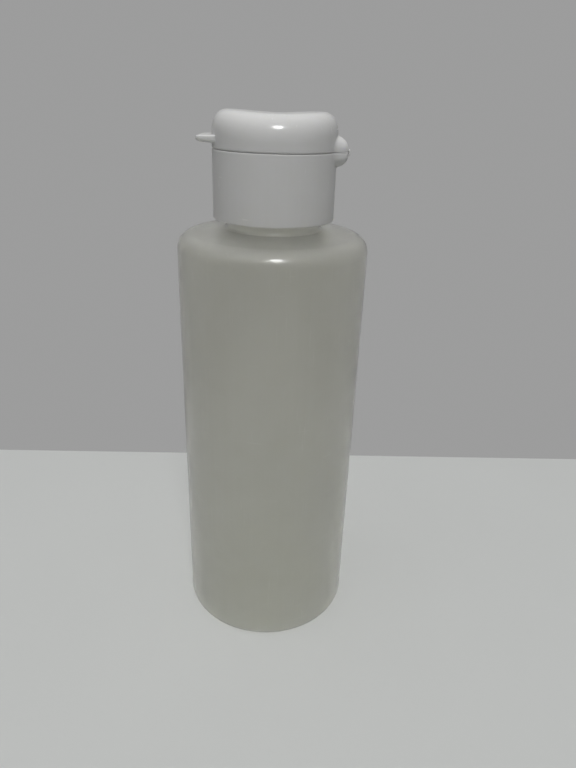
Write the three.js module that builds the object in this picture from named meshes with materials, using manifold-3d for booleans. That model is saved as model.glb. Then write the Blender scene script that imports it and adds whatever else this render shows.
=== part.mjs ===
// A small squeeze bottle of natural polyethylene with a white screw cap and a hinged flip lid.
// Millimetres, +Z up. The origin is on the bottle's axis, in the plane that the bottle stands on.
// The lid's hinge is on the +X side of the cap and its thumb tab on the -X side.

import * as THREE from 'three';
import { mergeVertices } from 'three/addons/utils/BufferGeometryUtils.js';
import Module from 'manifold-3d';

const wasm = await Module();
wasm.setup();

// Counts of sides and steps
const roundSides = 64;
const arcSteps = 5;
const nozzleSides = 32;
const threadStepsPerTurn = 36;
const lidTopRings = 4;
const lobeSteps = 4;

// Body of the bottle
const bodyRadius = 20;
const bodyStraightTop = 90.6;
const bodyWall = 1;
const baseRound = 1.7;
const standingRingWidth = 1.9;
const pushUpHeight = 1.6;
const floorWall = 1.4;
const floorRound = 1.2;
const shoulderRound = 3.5;
const shoulderSlope = THREE.MathUtils.degToRad(8);

// Neck of the bottle
const neckRadius = 9.65;
const neckBore = 7.9;
const neckLength = 12.8;
const neckFootRound = 0.8;
const neckLipChamfer = 0.3;

// Screw thread, the same on the neck and inside the cap
const threadPitch = 3;
const threadTurns = 1.25;
const threadHeight = 1.15;
const threadRootWidth = 1.8;
const threadCrestWidth = 0.7;
const threadSetback = 1.3;
const threadClearance = 0.35;
const threadRunOutShare = 0.08;
const threadStart = THREE.MathUtils.degToRad(200);

// Sealing ring between the neck's lip and the cap's deck
const sealThickness = 0.9;
const sealWidth = 2.5;
const sealSideClearance = 0.3;
const sealSeatGap = 0.1;

// Cap that screws on, with its deck and pouring nozzle
const skirtWall = 1.25;
const skirtGap = 2.25;
const skirtEdge = 0.3;
const deckWall = 1.15;
const collarHeight = 1;
const collarWall = 1;
const collarClearance = 0.4;
const collarChamfer = 0.2;
const nozzleHeight = 2.4;
const nozzleFootRadius = 3.6;
const nozzleTipRadius = 2.4;
const orificeRadius = 1.25;
const orificeLength = 1.3;

// Flip lid, whose top is a saddle: raised towards the hinge and the tab, rounded off at the flanks
const partingGap = 0.2;
const lidHeight = 6.6;
const lidEndRise = 0.36;
const lidFlankDrop = 0.1;
const lidEndRound = 3.4;
const lidEndSide = 2.9;
const lidFlankRound = 4.6;
const lidFlankSide = 2.4;
const lidWall = 1.1;
const lidTopWall = 1.2;
const lidRimChamfer = 0.2;
const pinClearance = 0.3;
const pinDepth = 1;

// Thumb tab on the lid
const tabReach = 2.7;
const tabWidth = 10.5;
const tabCorner = 2.2;
const tabUnderside = 0.9;
const tabThickness = 1.5;
const tabTipThickness = 1;

// Hinge: paired lobes on cap and lid that meet at two thin films with a window between them
const hingeReach = 2.2;
const lobeDrop = 2.8;
const lobeRise = 2.9;
const lobeTip = 0.5;
const hingeSpan = 9.6;
const hingeTipSpan = 7.8;
const lobeCrownSpan = 3.2;
const windowSpan = 2.8;
const filmThickness = 0.35;
const filmInset = 0.2;

// Surfaces in common, worked out from the sizes above
const shoulderCentre = new THREE.Vector2(bodyRadius - shoulderRound, bodyStraightTop);
const neckFoot = neckRadius + neckFootRound;
const neckFootHeight = slopeHeight(shoulderRound, neckFoot);
const neckTop = neckFootHeight + neckLength;
const skirtInner = neckRadius + threadHeight + threadClearance;
const capRadius = skirtInner + skirtWall;
const skirtBottom = slopeHeight(shoulderRound, capRadius) + skirtGap;
const sealBottom = neckTop + sealSeatGap;
const sealOuter = skirtInner - sealSideClearance;
const deckBottom = sealBottom + sealThickness + sealSeatGap;
const partingHeight = deckBottom + deckWall;
const lidBottom = partingHeight + partingGap;
const nozzleTop = partingHeight + nozzleHeight;
const hingeLine = capRadius + hingeReach;

// Height of the shoulder's slope at a radius, for the skin that is rounded by the given radius
function slopeHeight(round, radius) {
  const startRadius = shoulderCentre.x + round * Math.sin(shoulderSlope);
  const startHeight = shoulderCentre.y + round * Math.cos(shoulderSlope);
  return startHeight + (startRadius - radius) * Math.tan(shoulderSlope);
}

// Points along a round stretch of an outline, angles in degrees from the outline's first axis
function arc(centreX, centreY, radius, fromAngle, toAngle) {
  const points = [];
  for (let step = 0; step <= arcSteps; step += 1) {
    const angle = THREE.MathUtils.degToRad(THREE.MathUtils.lerp(fromAngle, toAngle, step / arcSteps));
    points.push(new THREE.Vector2(centreX + radius * Math.cos(angle), centreY + radius * Math.sin(angle)));
  }
  return points;
}

// Points along the shallow dome of the base, from its middle to its edge
function domeArc(edgeRadius, rise, lift) {
  const radius = (edgeRadius ** 2 + rise ** 2) / (2 * rise);
  const edgeAngle = Math.asin(edgeRadius / radius);
  const points = [];
  for (let step = 0; step <= arcSteps; step += 1) {
    const angle = (edgeAngle * step) / arcSteps;
    points.push(new THREE.Vector2(radius * Math.sin(angle), lift + rise - radius * (1 - Math.cos(angle))));
  }
  return points;
}

// Closed solid from triangles, turned so that its faces point out
function solidFromTriangles(vertices, triangles) {
  let volume = 0;
  const corners = [new THREE.Vector3(), new THREE.Vector3(), new THREE.Vector3()];
  for (let first = 0; first < triangles.length; first += 3) {
    corners.forEach((corner, index) => corner.fromArray(vertices, triangles[first + index] * 3));
    volume += corners[0].dot(corners[1].clone().cross(corners[2]));
  }
  const ordered = volume < 0 ? triangles.slice().reverse() : triangles;
  return new wasm.Manifold(new wasm.Mesh({
    numProp: 3,
    vertProperties: Float32Array.from(vertices),
    triVerts: Uint32Array.from(ordered),
  }));
}

// Closed solid from a closed three.js geometry, without the slivers that a lathe leaves on its axis
function solidFromGeometry(geometry) {
  geometry.deleteAttribute('normal');
  geometry.deleteAttribute('uv');
  const merged = mergeVertices(geometry);
  const index = Array.from(merged.index.array);
  const triangles = [];
  for (let first = 0; first < index.length; first += 3) {
    const [a, b, c] = index.slice(first, first + 3);
    if (a !== b && b !== c && c !== a) triangles.push(a, b, c);
  }
  return solidFromTriangles(Array.from(merged.attributes.position.array), triangles);
}

// Solid of revolution about +Z from an outline of (radius, height) points
function turned(outline, sides) {
  const geometry = new THREE.LatheGeometry(outline, sides);
  geometry.rotateX(Math.PI / 2);
  return solidFromGeometry(geometry);
}

// Prism of an outline drawn in X and Z, centred on the given place along Y
function prismAlongY(outline, width, middle) {
  const shape = new THREE.Shape(outline);
  const geometry = new THREE.ExtrudeGeometry(shape, { depth: width, bevelEnabled: false });
  geometry.rotateX(Math.PI / 2);
  geometry.translate(0, middle + width / 2, 0);
  return solidFromGeometry(geometry);
}

// Prism of an outline drawn in X and Y, standing on the given height
function prismAlongZ(outline, height, bottom) {
  const shape = new THREE.Shape(outline);
  const geometry = new THREE.ExtrudeGeometry(shape, { depth: height, bevelEnabled: false });
  geometry.translate(0, 0, bottom);
  return solidFromGeometry(geometry);
}

// Solid between rings of points, closed at both ends by a fan about the ring's middle
function ringSolid(rings) {
  const count = rings[0].length;
  const vertices = rings.flat().flatMap((point) => point.toArray());
  const triangles = [];
  for (let ring = 0; ring < rings.length - 1; ring += 1) {
    for (let side = 0; side < count; side += 1) {
      const here = ring * count + side;
      const next = ring * count + ((side + 1) % count);
      triangles.push(here, next, next + count, here, next + count, here + count);
    }
  }
  [0, rings.length - 1].forEach((ring) => {
    const middle = rings[ring].reduce((sum, point) => sum.add(point), new THREE.Vector3());
    middle.divideScalar(count);
    const centre = vertices.length / 3;
    vertices.push(...middle.toArray());
    for (let side = 0; side < count; side += 1) {
      const here = ring * count + side;
      const next = ring * count + ((side + 1) % count);
      triangles.push(...(ring === 0 ? [centre, next, here] : [centre, here, next]));
    }
  });
  return solidFromTriangles(vertices, triangles);
}

// Screw ridge whose root sinks into its wall and whose crest fades in and out at the ends
function threadRidge(rootRadius, crestRadius, lowEnd) {
  const steps = Math.round(threadTurns * threadStepsPerTurn);
  const outward = Math.sign(crestRadius - rootRadius);
  const sunkRoot = rootRadius - outward * threadClearance;
  const rings = [];
  for (let step = 0; step <= steps; step += 1) {
    const turnShare = step / steps;
    const angle = threadStart + turnShare * threadTurns * 2 * Math.PI;
    const height = lowEnd + turnShare * threadTurns * threadPitch;
    const fade = Math.min(1, Math.min(turnShare, 1 - turnShare) / threadRunOutShare);
    const crest = THREE.MathUtils.lerp(rootRadius, crestRadius, fade);
    const section = [
      [sunkRoot, -threadRootWidth / 2],
      [crest, -threadCrestWidth / 2],
      [crest, threadCrestWidth / 2],
      [sunkRoot, threadRootWidth / 2],
    ];
    rings.push(section.map(([radius, rise]) => new THREE.Vector3(
      radius * Math.cos(angle),
      radius * Math.sin(angle),
      height + rise,
    )));
  }
  return ringSolid(rings);
}

// Named mesh of one closed solid
function part(name, solid, material) {
  const { vertProperties, triVerts } = solid.getMesh();
  const geometry = new THREE.BufferGeometry();
  geometry.setAttribute('position', new THREE.BufferAttribute(vertProperties, 3));
  geometry.setIndex(new THREE.BufferAttribute(triVerts, 1));
  geometry.computeVertexNormals();
  const mesh = new THREE.Mesh(geometry, material);
  mesh.name = name;
  return mesh;
}

const naturalPolyethylene = new THREE.MeshStandardMaterial({ color: 0xb9b9ab, roughness: 0.42 });
const whitePolypropylene = new THREE.MeshStandardMaterial({ color: 0xdcdcd8, roughness: 0.3 });
const softFoam = new THREE.MeshStandardMaterial({ color: 0xe8e8e4, roughness: 0.8 });

// Blow-moulded bottle: pushed-up base, straight wall, rounded shoulder and threaded neck
function makeBottle() {
  const standingOuter = bodyRadius - baseRound;
  const standingInner = standingOuter - standingRingWidth;
  const innerRadius = bodyRadius - bodyWall;
  const innerRound = shoulderRound - bodyWall;
  const topAngle = 90 - THREE.MathUtils.radToDeg(shoulderSlope);
  const floorCentre = innerRadius - floorRound;
  const boreFoot = neckBore + neckFootRound;
  const boreFootHeight = slopeHeight(innerRound, boreFoot);
  const outside = [
    ...domeArc(standingInner, pushUpHeight, 0),
    ...arc(standingOuter, baseRound, baseRound, -90, 0),
    ...arc(shoulderCentre.x, shoulderCentre.y, shoulderRound, 0, topAngle),
    ...arc(neckFoot, neckFootHeight + neckFootRound, neckFootRound, 270, 180),
    new THREE.Vector2(neckRadius, neckTop - neckLipChamfer),
    new THREE.Vector2(neckRadius - neckLipChamfer, neckTop),
  ];
  const inside = [
    new THREE.Vector2(neckBore, neckTop),
    ...arc(boreFoot, boreFootHeight + neckFootRound, neckFootRound, 180, 270),
    ...arc(shoulderCentre.x, shoulderCentre.y, innerRound, topAngle, 0),
    ...arc(floorCentre, floorWall + floorRound, floorRound, 0, -90),
    ...domeArc(standingInner, pushUpHeight, floorWall).reverse(),
  ];
  const body = turned([...outside, ...inside], roundSides);
  const ridgeLow = neckTop - threadSetback - threadTurns * threadPitch;
  const ridge = threadRidge(neckRadius, neckRadius + threadHeight, ridgeLow);
  return part('bottle', body.add(ridge), naturalPolyethylene);
}

// Flat ring that the cap presses onto the neck's lip
function makeSealingRing() {
  const outline = [
    new THREE.Vector2(sealOuter - sealWidth, sealBottom),
    new THREE.Vector2(sealOuter, sealBottom),
    new THREE.Vector2(sealOuter, sealBottom + sealThickness),
    new THREE.Vector2(sealOuter - sealWidth, sealBottom + sealThickness),
    new THREE.Vector2(sealOuter - sealWidth, sealBottom),
  ];
  return part('sealing_ring', turned(outline, roundSides), softFoam);
}

// X where a lobe starts, inside the round wall that carries it along its whole span
function lobeRoot(innerRadius) {
  const outerAtSpan = Math.sqrt(capRadius ** 2 - (hingeSpan / 2) ** 2);
  return (outerAtSpan + innerRadius) / 2;
}

// Corners of a hinge lobe at a height, from full size at the parting to flush with the wall at its crown
function lobeLevel(root, size, height) {
  const flush = Math.sqrt(capRadius ** 2 - (lobeCrownSpan / 2) ** 2);
  const reach = THREE.MathUtils.lerp(flush, hingeLine - filmThickness, size);
  const rootHalf = THREE.MathUtils.lerp(lobeCrownSpan, hingeSpan, size) / 2;
  const tipHalf = THREE.MathUtils.lerp(lobeCrownSpan, hingeTipSpan, size) / 2;
  return [
    [root, -rootHalf, height],
    [root, rootHalf, height],
    [reach, tipHalf, height],
    [reach, -tipHalf, height],
  ];
}

// Pair of hinge lobes either side of the window; tip and crown run down or up from the parting
function hingeLobes(innerRadius, faceHeight, tipEnd, crownEnd) {
  const root = lobeRoot(innerRadius);
  const corners = lobeLevel(root, 1, faceHeight);
  for (let step = 0; step <= lobeSteps; step += 1) {
    const angle = (Math.PI / 2) * (step / lobeSteps);
    const height = THREE.MathUtils.lerp(tipEnd, crownEnd, Math.sin(angle));
    corners.push(...lobeLevel(root, Math.cos(angle), height));
  }
  const half = windowSpan / 2;
  const window = prismAlongZ([
    new THREE.Vector2(0, -half),
    new THREE.Vector2(hingeLine, -half),
    new THREE.Vector2(hingeLine, half),
    new THREE.Vector2(0, half),
  ], Math.abs(crownEnd - faceHeight) + 2 * lobeTip, Math.min(crownEnd, faceHeight) - lobeTip);
  return wasm.Manifold.hull(corners).subtract(window);
}

// Cap: threaded skirt, deck with a collar that centres the lid, pouring nozzle and hinge lobes
function makeCapBase() {
  const collarOuter = capRadius - lidWall - collarClearance;
  const collarInner = collarOuter - collarWall;
  const collarTop = partingHeight + collarHeight;
  const outline = [
    new THREE.Vector2(skirtInner, skirtBottom),
    new THREE.Vector2(capRadius - skirtEdge, skirtBottom),
    new THREE.Vector2(capRadius, skirtBottom + skirtEdge),
    new THREE.Vector2(capRadius, partingHeight),
    new THREE.Vector2(collarOuter, partingHeight),
    new THREE.Vector2(collarOuter, collarTop - collarChamfer),
    new THREE.Vector2(collarOuter - collarChamfer, collarTop),
    new THREE.Vector2(collarInner, collarTop),
    new THREE.Vector2(collarInner, partingHeight),
    new THREE.Vector2(nozzleFootRadius, partingHeight),
    new THREE.Vector2(nozzleTipRadius, nozzleTop),
    new THREE.Vector2(orificeRadius, nozzleTop),
    new THREE.Vector2(orificeRadius, nozzleTop - orificeLength),
    new THREE.Vector2(nozzleFootRadius - deckWall, deckBottom),
    new THREE.Vector2(skirtInner, deckBottom),
    new THREE.Vector2(skirtInner, skirtBottom),
  ];
  const ridgeLow = neckTop - threadSetback - (threadTurns + 1 / 2) * threadPitch;
  const ridge = threadRidge(skirtInner, neckRadius + threadClearance, ridgeLow);
  const lobes = hingeLobes(skirtInner, partingHeight, partingHeight - lobeTip, partingHeight - lobeDrop);
  const cap = turned(outline, roundSides).add(ridge).add(lobes);
  return part('cap_base', cap, whitePolypropylene);
}

// Thin living hinge between a lobe of the cap and a lobe of the lid
function makeHingeFilm(name, side) {
  const width = (hingeTipSpan - windowSpan) / 2 - 2 * filmInset;
  const middle = (side * (hingeTipSpan + windowSpan)) / 4;
  const outline = [
    new THREE.Vector2(hingeLine - filmThickness, partingHeight - lobeTip),
    new THREE.Vector2(hingeLine, partingHeight - lobeTip),
    new THREE.Vector2(hingeLine, lidBottom + lobeTip),
    new THREE.Vector2(hingeLine - filmThickness, lidBottom + lobeTip),
  ];
  return part(name, prismAlongY(outline, width, middle), whitePolypropylene);
}

// Saddle-topped round block; the skin is the lid's outside, drawn in by a side wall and a top wall
function lidBlock(sideWall, topWall, bottom) {
  const radius = capRadius - sideWall;
  const rings = [];
  const ringPoint = (azimuth, reach, height) => new THREE.Vector3(
    reach * Math.cos(azimuth),
    reach * Math.sin(azimuth),
    height,
  );
  const corner = (azimuth) => {
    const end = Math.cos(azimuth) ** 2;
    const flank = 1 - end;
    const inset = end * (lidEndRound - sideWall) + flank * (lidFlankRound - sideWall);
    const side = lidBottom + end * lidEndSide + flank * lidFlankSide - topWall;
    const top = lidBottom + lidHeight + end * lidEndRise - flank * lidFlankDrop - topWall;
    return { inset, side, top };
  };
  const azimuths = Array.from({ length: roundSides }, (_, index) => (index / roundSides) * 2 * Math.PI);
  rings.push(azimuths.map((azimuth) => ringPoint(azimuth, radius, bottom)));
  for (let step = 0; step <= arcSteps; step += 1) {
    const angle = (Math.PI / 2) * (step / arcSteps);
    rings.push(azimuths.map((azimuth) => {
      const { inset, side, top } = corner(azimuth);
      const reach = radius - inset * (1 - Math.cos(angle));
      return ringPoint(azimuth, reach, side + (top - side) * Math.sin(angle));
    }));
  }
  for (let ring = 1; ring < lidTopRings; ring += 1) {
    const reachShare = 1 - ring / lidTopRings;
    const blendShare = (1 - Math.cos(Math.PI * reachShare)) / 2;
    const middle = lidBottom + lidHeight - topWall;
    rings.push(azimuths.map((azimuth) => {
      const { inset, top } = corner(azimuth);
      return ringPoint(azimuth, (radius - inset) * reachShare, middle + (top - middle) * blendShare);
    }));
  }
  return ringSolid(rings);
}

// Thumb tab: a rounded tongue whose underside rises towards its tip
function makeTab() {
  const root = -(capRadius - lidWall / 2);
  const tip = -(capRadius + tabReach);
  const half = tabWidth / 2;
  const bottom = lidBottom + tabUnderside;
  const top = bottom + tabThickness;
  const plan = [
    new THREE.Vector2(root, -half),
    new THREE.Vector2(root, half),
    ...arc(tip + tabCorner, half - tabCorner, tabCorner, 90, 180),
    ...arc(tip + tabCorner, tabCorner - half, tabCorner, 180, 270),
  ];
  const section = [
    new THREE.Vector2(root, bottom),
    new THREE.Vector2(root, top),
    new THREE.Vector2(tip, top),
    new THREE.Vector2(tip, top - tabTipThickness),
  ];
  const tongue = prismAlongZ(plan, tabThickness, bottom).intersect(prismAlongY(section, tabWidth, 0));
  const cavity = turned([
    new THREE.Vector2(0, bottom - tabThickness),
    new THREE.Vector2(capRadius - lidWall / 2, bottom - tabThickness),
    new THREE.Vector2(capRadius - lidWall / 2, top + tabThickness),
    new THREE.Vector2(0, top + tabThickness),
  ], roundSides);
  return tongue.subtract(cavity);
}

// Pin under the lid's top that plugs the nozzle's orifice
function makePin() {
  const pinRadius = orificeRadius - pinClearance;
  const tip = nozzleTop - pinDepth;
  const root = lidBottom + lidHeight - lidTopWall / 2;
  const outline = [
    new THREE.Vector2(0, tip),
    ...arc(pinRadius / 2, tip + pinRadius / 2, pinRadius / 2, -90, 0),
    new THREE.Vector2(pinRadius, root),
    new THREE.Vector2(0, root),
  ];
  return turned(outline, nozzleSides);
}

// Flip lid: hollow saddle-topped shell with its thumb tab, sealing pin and hinge lobes
function makeFlipLid() {
  const rim = turned([
    new THREE.Vector2(0, lidBottom - lidRimChamfer),
    new THREE.Vector2(capRadius - 2 * lidRimChamfer, lidBottom - lidRimChamfer),
    new THREE.Vector2(capRadius + lidRimChamfer, lidBottom + lidRimChamfer),
    new THREE.Vector2(capRadius + lidRimChamfer, lidBottom + 2 * lidHeight),
    new THREE.Vector2(0, lidBottom + 2 * lidHeight),
  ], roundSides);
  const shell = lidBlock(0, 0, lidBottom).intersect(rim);
  const cavity = lidBlock(lidWall, lidTopWall, lidBottom - lidRimChamfer);
  const lobes = hingeLobes(capRadius - lidWall, lidBottom, lidBottom + lobeTip, lidBottom + lobeRise);
  const lid = shell.subtract(cavity).add(makePin()).add(makeTab()).add(lobes);
  return part('flip_lid', lid, whitePolypropylene);
}

const squeezeBottle = new THREE.Group();
squeezeBottle.add(
  makeBottle(),
  makeSealingRing(),
  makeCapBase(),
  makeHingeFilm('hinge_film_front', -1),
  makeHingeFilm('hinge_film_rear', 1),
  makeFlipLid(),
);

export default squeezeBottle;
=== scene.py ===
"""A translucent squeeze bottle with a white screw cap and a hinged flip lid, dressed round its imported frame.

Sizes are in millimetres, as on a drawing, and meshes are put down in metres in the frame's own axes:
+Z up along the bottle's axis, the lid's hinge on the +X side and its thumb tab on the -X side.
"""

import logging
import math
from dataclasses import dataclass, replace
from enum import Enum
from functools import cache

import bpy
import numpy as np
from mathutils import Matrix, Vector


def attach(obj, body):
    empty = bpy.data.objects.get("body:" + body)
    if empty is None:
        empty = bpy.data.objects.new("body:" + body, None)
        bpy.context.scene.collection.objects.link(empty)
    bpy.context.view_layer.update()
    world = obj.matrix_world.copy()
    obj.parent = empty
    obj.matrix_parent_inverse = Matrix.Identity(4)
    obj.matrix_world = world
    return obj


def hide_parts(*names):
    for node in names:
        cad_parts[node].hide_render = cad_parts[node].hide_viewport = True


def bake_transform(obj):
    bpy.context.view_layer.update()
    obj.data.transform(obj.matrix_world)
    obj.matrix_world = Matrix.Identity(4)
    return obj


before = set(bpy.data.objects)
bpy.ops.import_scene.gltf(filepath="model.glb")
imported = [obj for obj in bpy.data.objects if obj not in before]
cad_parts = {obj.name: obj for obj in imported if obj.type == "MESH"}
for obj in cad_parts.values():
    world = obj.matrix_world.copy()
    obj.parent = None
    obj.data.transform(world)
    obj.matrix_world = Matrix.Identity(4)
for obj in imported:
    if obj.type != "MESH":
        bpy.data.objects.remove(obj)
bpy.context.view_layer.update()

MM = 0.001
TINY = 1e-3
SAME_PLACE = 1e-5
NUMBER = "NodeSocketFloat"
VECTOR = "NodeSocketVector"
Point = tuple[float, float]
Triple = tuple[float, float, float]
Colour = tuple[float, float, float, float]
Array = np.ndarray
Piece = bpy.types.Object
Material = bpy.types.Material
Node = bpy.types.Node
NodeTree = bpy.types.NodeTree
Socket = bpy.types.NodeSocket
log = logging.getLogger("squeeze_bottle")


class Ends(Enum):
    """How the first and last row of a surface are closed."""

    POLES = "poles"
    LOOP = "loop"


# Outlines and surfaces as whole arrays


def rows(first: float, last: float, count: int) -> Array:
    """Evenly spaced values as a column, one for each row of a surface."""
    return np.linspace(first, last, count)[:, None]


def line(start: Point, end: Point, count: int) -> Array:
    """Evenly spaced (radius, height) points from start to end: start + share * (end - start)."""
    return np.array(start) + rows(0, 1, count) * (np.array(end) - np.array(start))


def arc(centre: Point, radius: float, start: float, end: float, count: int) -> Array:
    """Points on a circle: centre + radius * (cos angle, sin angle), angles in degrees."""
    angle = np.radians(np.linspace(start, end, count))
    return np.array(centre) + radius * np.stack([np.cos(angle), np.sin(angle)], axis=1)


def rounded_rectangle(low: Point, high: Point, corner: float, count: int) -> Array:
    """Outline of a rectangle whose corners are quarter circles.

    Args:
        low: The corner with the smaller values.
        high: The corner with the larger values.
        corner: Radius of the quarter circles.
        count: Number of points on each.

    Returns:
        Array of points.
    """
    (left, bottom), (right, top) = np.add(low, corner), np.subtract(high, corner)
    corners = ((left, bottom, 180), (right, bottom, 270), (right, top, 0), (left, top, 90))
    return np.concatenate([arc((x, y), corner, start, start + 90, count) for x, y, start in corners])


def dome(edge: float, rise: float, lift: float, count: int) -> Array:
    """Points from the middle to the edge of a shallow dome: lift + rise * (1 - (radius / edge) squared)."""
    radius = np.linspace(0, edge, count)
    return np.stack([radius, lift + rise * (1 - (radius / edge) ** 2)], axis=1)


def bell(value: Array) -> Array:
    """1 in the middle and falling off on both sides: exp(-value squared)."""
    return np.exp(-(value**2))


def crowded(low: float, high: float, count: int, centres: list, width: float, pull: float) -> Array:
    """Rising values whose spacing narrows at the centres, as 1 / (1 + pull * sum of bells of that width).

    Args:
        low: First value.
        high: Last value.
        count: Number of values.
        centres: Where the values crowd.
        width: Half width of each crowd.
        pull: How many times closer the values lie there.

    Returns:
        Array of values from low to high.
    """
    steps = 8000
    fine = np.linspace(low, high, steps)
    bells = bell((fine[:, None] - np.array(centres)) / width).sum(axis=1)
    mass = np.concatenate([[0], np.cumsum(1 + pull * bells[1:])])
    return np.interp(np.linspace(0, mass[-1], count), mass, fine)


def smooth_max(first: Array, second: Array, blend: float) -> Array:
    """The larger of two values, rounded where they differ by less than blend.

    The larger value is raised by (blend - difference) squared / (4 * blend), which meets both sides
    without a corner and leaves them as they are farther away.

    Args:
        first: One array.
        second: The other array.
        blend: Difference at which the rounding starts.

    Returns:
        Array of the rounded maximum.
    """
    near = np.maximum(blend - np.abs(first - second), 0)
    return np.maximum(first, second) + near**2 / (4 * blend)


def smooth_min(first: Array, second: Array, blend: float) -> Array:
    """The smaller of two values, rounded alike: minus the rounded larger of their negatives."""
    return -smooth_max(-first, -second, blend)


def smooth_step(value: Array) -> Array:
    """Rises from 0 to 1 without corners as value goes from 0 to 1: t * t * (3 - 2 t)."""
    share = np.clip(value, 0, 1)
    return share * share * (3 - 2 * share)


def eased(share: Array) -> Array:
    """Runs from 0 to 1 with level ends: (1 - cos(pi * share)) / 2."""
    return (1 - np.cos(math.pi * share)) / 2


def wrapped(angle: Array) -> Array:
    """The angle brought between minus and plus half a turn."""
    return (angle + math.pi) % (2 * math.pi) - math.pi


def put(name: str, data: bpy.types.ID) -> Piece:
    """Puts a new object with the given data into the scene."""
    bpy.context.scene.collection.objects.link(piece := bpy.data.objects.new(name, data))
    return piece


def put_mesh(name: str, points: Array, faces: list[Array]) -> Piece:
    """Puts points and faces into a smooth mesh, turned so that its faces point out.

    The signed volume of the closed mesh is the sum of a . (b x c) over its triangles; a negative one is
    turned round.

    Args:
        name: Name of the object and its mesh.
        points: Array of points in millimetres.
        faces: Arrays of quads and triangles that index the points.

    Returns:
        The new object, at the origin.
    """
    volume = 0.0
    for group in faces:
        for corner in range(1, group.shape[1] - 1):
            a, b, c = (points[group[:, place]] for place in (0, corner, corner + 1))
            volume += float(np.einsum("ij,ij->", a, np.cross(b, c)))
    if volume < 0:
        faces = [group[:, ::-1] for group in faces]
    mesh = bpy.data.meshes.new(name)
    mesh.from_pydata((points * MM).tolist(), [], [face for group in faces for face in group.tolist()])
    mesh.shade_smooth()
    mesh.update()
    return put(name, mesh)


def tube(name: str, grid: Array, ends: Ends) -> Piece:
    """Joins rows of points into one closed mesh: quads between the rows, and fans to the poles.

    Args:
        name: Name of the new piece.
        grid: Rows by columns of points; each row is a closed ring.
        ends: Whether the first and last rows shrink to poles or close on each other.

    Returns:
        The new object.
    """
    poles = grid[[0, -1]].mean(axis=1)
    if ends is Ends.POLES:
        grid = grid[1:-1]
    count, columns = grid.shape[:2]
    index = np.arange(count * columns).reshape(count, columns)
    following = np.roll(index, -1, axis=1)
    joined = count if ends is Ends.LOOP else count - 1
    corners = [index, following, np.roll(following, -1, axis=0), np.roll(index, -1, axis=0)]
    quads = np.stack([corner[:joined] for corner in corners], axis=2).reshape(-1, 4)
    if ends is Ends.LOOP:
        return put_mesh(name, grid.reshape(-1, 3), [quads])
    pole = np.full(columns, count * columns)
    fans = np.concatenate([
        np.stack([pole, following[0], index[0]], axis=1),
        np.stack([pole + 1, index[-1], following[-1]], axis=1),
    ])
    return put_mesh(name, np.concatenate([grid.reshape(-1, 3), poles]), [quads, fans])


class Skin:
    """Rows of (radius, height) that are carried round the axis on shared azimuths."""

    def __init__(self, azimuths: Array) -> None:
        """Starts an empty skin on the given azimuths, in radians."""
        self.azimuths = azimuths[None, :]
        self.bands: list[tuple[Array, Array]] = []

    def band(self, radius: Array, height: Array) -> None:
        """Adds rows whose radius and height, rows by azimuths or by one, may change with the azimuth."""
        shape = (max(len(radius), len(height)), self.azimuths.size)
        self.bands.append((np.broadcast_to(radius, shape), np.broadcast_to(height, shape)))

    def turned(self, *outlines: Array) -> None:
        """Adds rows that are the same all round, from (radius, height) outlines."""
        for outline in outlines:
            self.band(outline[:, :1], outline[:, 1:])

    def edge(self, radius: Array, height: float, size: float, count: int) -> None:
        """Adds a rounding inwards from a row, up or, where size is negative, down: a quarter circle."""
        angle = rows(0, math.pi / 2, count)
        self.band(radius - abs(size) * (1 - np.cos(angle)), height + size * np.sin(angle))

    def piece(self, name: str, ends: Ends) -> Piece:
        """Joins the rows into one closed mesh.

        A point is (radius cos azimuth, radius sin azimuth, height), and a row that hardly differs from
        the one before is left out.

        Args:
            name: Name of the new piece.
            ends: Whether the first and last rows close on the axis or on each other.

        Returns:
            The new object.
        """
        radius, height = (np.concatenate(part) for part in zip(*self.bands))
        moved = np.abs(np.diff(radius, axis=0)) + np.abs(np.diff(height, axis=0))
        keep = np.concatenate([[True], moved.max(axis=1) > SAME_PLACE])
        radius, height = radius[keep], height[keep]
        grid = np.stack([radius * np.cos(self.azimuths), radius * np.sin(self.azimuths), height], axis=2)
        return tube(name, grid, ends)


# Finishes


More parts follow.
